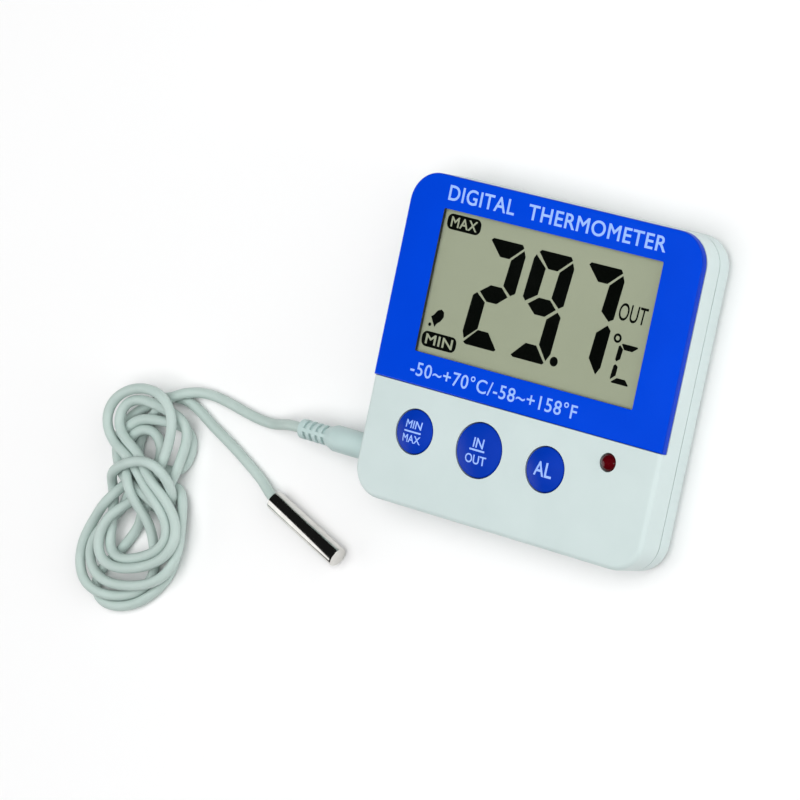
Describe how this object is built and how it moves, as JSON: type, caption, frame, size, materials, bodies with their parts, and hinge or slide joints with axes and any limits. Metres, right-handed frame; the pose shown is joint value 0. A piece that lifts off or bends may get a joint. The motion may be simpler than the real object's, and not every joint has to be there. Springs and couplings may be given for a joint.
{
  "type": "maximum minimum thermometer",
  "caption": "Battery thermometer with a wide display over a row of round keys, and a steel probe on a plug-in lead wound into a hank.",
  "frame": {"origin": "centre of the case's flat back, on the surface it lies on", "axes": "+Z out of the display, +Y towards the case's top edge, +X towards its right side; the probe's plug leaves along -X"},
  "size_m": [0.1945, 0.145, 0.0167],
  "materials": {
    "shell_white": "satin moulded ABS, cool white",
    "lens_blue": "polished acrylic with a printed blue border",
    "key_blue": "satin moulded, deep blue",
    "lcd_grey": "reflective liquid crystal display, grey green",
    "led_red": "clear tinted epoxy, unlit",
    "board_green": "solder mask",
    "black_plastic": "satin black",
    "steel": "zinc plated",
    "nickel": "nickel plated",
    "probe_steel": "polished stainless steel",
    "rubber_grey": "matt silicone",
    "cell_wrap": "shrink sleeve",
    "red_wire": "PVC insulation",
    "cord_grey": "soft PVC, pale grey green",
    "ceramic": "epoxy coated bead"
  },
  "bodies": {
    "case": {"front_shell": "shell_white", "back_shell": "shell_white", "case_screw_1": "steel", "case_screw_2": "steel", "case_screw_3": "steel", "case_screw_4": "steel", "display_lens": "lens_blue", "lcd_panel": "lcd_grey", "lcd_frame": "black_plastic", "contact_strip": "rubber_grey", "alarm_led": "led_red", "circuit_board": "board_green", "board_screw_1": "steel", "board_screw_2": "steel", "board_screw_3": "steel", "board_screw_4": "steel", "tact_min_max_body": "black_plastic", "tact_in_out_body": "black_plastic", "tact_alarm_body": "black_plastic", "processor_blob": "black_plastic", "clock_crystal": "nickel", "capacitor": "black_plastic", "buzzer": "black_plastic", "room_thermistor": "ceramic", "unit_switch_body": "nickel", "aaa_cell": "cell_wrap", "battery_contact_negative": "nickel", "battery_contact_positive": "nickel", "battery_spring": "steel", "battery_wire_positive": "red_wire", "battery_wire_negative": "black_plastic", "stand_pin": "steel", "jack_socket": "black_plastic", "jack_lug_1": "nickel", "jack_lug_2": "nickel"},
    "stand": {"fold_out_stand": "shell_white"},
    "door": {"battery_door": "shell_white"},
    "min_max_button": {"key_min_max": "key_blue", "tact_min_max_plunger": "rubber_grey"},
    "in_out_button": {"key_in_out": "key_blue", "tact_in_out_plunger": "rubber_grey"},
    "alarm_button": {"key_alarm": "key_blue", "tact_alarm_plunger": "rubber_grey"},
    "unit_selector": {"unit_switch_knob": "black_plastic"},
    "probe_lead": {"plug_moulding": "cord_grey", "plug_sleeve": "nickel", "plug_insulator": "black_plastic", "plug_tip": "nickel", "cord_lead": "cord_grey", "cord_hank": "cord_grey", "cord_tail": "cord_grey", "probe_sleeve": "probe_steel", "probe_potting": "ceramic"}
  },
  "joints": [
    {"name": "min_max_press", "type": "slide", "parent": "case", "child": "min_max_button", "axis": [0, 0, -1], "range_m": [0, 0.0008], "stiffness_N_per_m": 300},
    {"name": "in_out_press", "type": "slide", "parent": "case", "child": "in_out_button", "axis": [0, 0, -1], "range_m": [0, 0.0008], "stiffness_N_per_m": 300},
    {"name": "alarm_press", "type": "slide", "parent": "case", "child": "alarm_button", "axis": [0, 0, -1], "range_m": [0, 0.0008], "stiffness_N_per_m": 300},
    {"name": "stand_fold", "type": "hinge", "parent": "case", "child": "stand", "pos_m": [0, 0.0115, 0.00125], "axis": [1, 0, 0], "range_deg": [0, 60]},
    {"name": "door_slide", "type": "slide", "parent": "case", "child": "door", "axis": [0, -1, 0], "range_m": [0, 0.016]},
    {"name": "unit_select", "type": "slide", "parent": "case", "child": "unit_selector", "axis": [1, 0, 0], "range_m": [0, 0.002]},
    {"name": "plug_pull", "type": "slide", "parent": "case", "child": "probe_lead", "axis": [-1, 0, 0], "range_m": [0, 0.014]}
  ]
}
